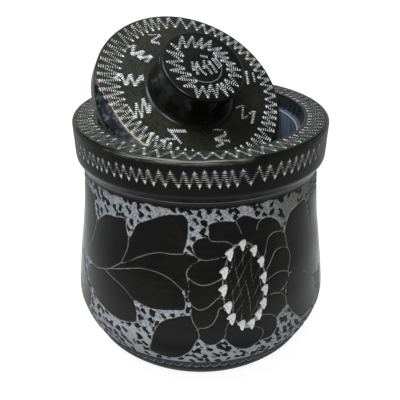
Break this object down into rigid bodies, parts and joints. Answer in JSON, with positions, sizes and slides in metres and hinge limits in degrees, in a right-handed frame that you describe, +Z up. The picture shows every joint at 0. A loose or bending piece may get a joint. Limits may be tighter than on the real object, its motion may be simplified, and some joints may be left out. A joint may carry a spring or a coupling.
{
  "type": "stone cooking pot",
  "caption": "Round turned stone cooking pot with a thick collar, a body that swells low down, and a knobbed disc lid lodged aslant in its mouth.",
  "frame": {"origin": "centre of the flat foot that the pot stands on", "axes": "+Z up along the pot's turning axis, -Y towards the viewer of the picture, +X to the viewer's right"},
  "size_m": [0.163, 0.163, 0.203],
  "materials": {
    "pot_stone": "black-stained polished soapstone, scratched through to pale grey stone in leaves, a flower and zigzags; bare blue-grey stone inside",
    "lid_stone": "black-stained polished soapstone, scratched through to pale grey stone in zigzags"
  },
  "bodies": {
    "pot": {"pot": "pot_stone"},
    "lid": {"lid": "lid_stone"}
  },
  "joints": [
    {"name": "lid_lift", "type": "slide", "parent": "pot", "child": "lid", "axis": [0, 0, 1], "range_m": [0, 0.12]}
  ]
}
